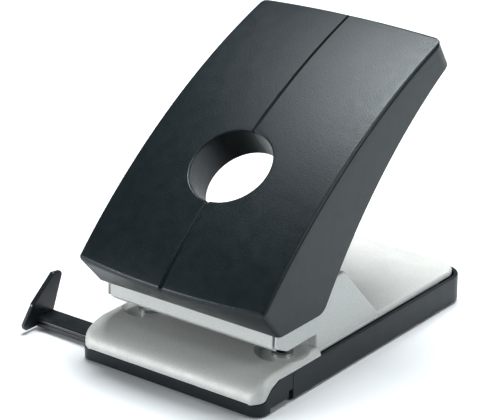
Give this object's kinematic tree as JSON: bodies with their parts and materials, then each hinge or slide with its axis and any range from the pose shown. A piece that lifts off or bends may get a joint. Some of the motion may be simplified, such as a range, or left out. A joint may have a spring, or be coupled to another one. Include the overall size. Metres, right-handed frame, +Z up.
{
  "type": "hole punch",
  "caption": "Heavy-duty two-hole office punch with a tall leaning lever, round finger hole, silver paper table and housing, black base tray and sliding paper guide.",
  "frame": {"origin": "on the table, under the middle of the front foot; the punch pins stand 31 mm behind it at x = -40 and +40 mm", "axes": "+X to the operator's right, +Y towards the back, +Z up"},
  "size_m": [0.1487, 0.177, 0.1461],
  "materials": {
    "lever_plastic": "satin fine-textured black moulding",
    "black_plastic": "satin black moulding",
    "silver_paint": "fine-textured silver-grey paint",
    "steel": "zinc-plated sheet steel",
    "tool_steel": "ground hardened steel",
    "spring_steel": "oiled spring wire",
    "rubber": "matte black rubber"
  },
  "bodies": {
    "punch": {"front_base": "black_plastic", "paper_table": "silver_paint", "base_plate": "steel", "tray_rails": "steel", "side_plate_left": "steel", "side_plate_right": "steel", "guide_bridge": "steel", "pin_guide_left": "tool_steel", "pin_guide_right": "tool_steel", "die_left": "tool_steel", "die_right": "tool_steel", "housing_cover": "silver_paint", "front_band": "silver_paint", "pivot_axle": "tool_steel", "axle_clips": "spring_steel", "frame_rivets": "steel", "bridge_screws": "steel", "cover_screws": "steel", "guide_keeper": "black_plastic", "detent_spring": "spring_steel", "front_foot": "rubber", "return_spring_left": "spring_steel", "return_spring_right": "spring_steel"},
    "lever": {"lever_shell": "lever_plastic", "lever_frame": "steel", "lever_cover": "lever_plastic", "press_bar": "tool_steel", "lever_screws": "steel"},
    "pin_left": {"punch_pin_left": "tool_steel"},
    "pin_right": {"punch_pin_right": "tool_steel"},
    "tray": {"chad_tray": "black_plastic", "rear_feet": "rubber"},
    "paper_guide": {"guide_bar": "black_plastic"}
  },
  "joints": [
    {"name": "lever_pivot", "type": "hinge", "parent": "punch", "child": "lever", "pos_m": [0, 0.0175, 0.06], "axis": [-1, 0, 0], "range_deg": [0, 36.1], "stiffness_Nm_per_rad": 0.45, "springref_deg": -45.84},
    {"name": "pin_left_slide", "type": "slide", "parent": "punch", "child": "pin_left", "axis": [0, 0, -1], "range_m": [0, 0.0089], "deforming": ["return_spring_left"]},
    {"name": "pin_right_slide", "type": "slide", "parent": "punch", "child": "pin_right", "axis": [0, 0, -1], "range_m": [0, 0.0089], "deforming": ["return_spring_right"]},
    {"name": "tray_slide", "type": "slide", "parent": "punch", "child": "tray", "axis": [0, 1, 0], "range_m": [0, 0.15]},
    {"name": "guide_slide", "type": "slide", "parent": "punch", "child": "paper_guide", "axis": [-1, 0, 0], "range_m": [-0.035, 0.0572]}
  ],
  "couplings": [
    {"joint": "pin_left_slide", "follows": "lever_pivot", "m_per_rad": 0.013965},
    {"joint": "pin_right_slide", "follows": "lever_pivot", "m_per_rad": 0.013965}
  ]
}
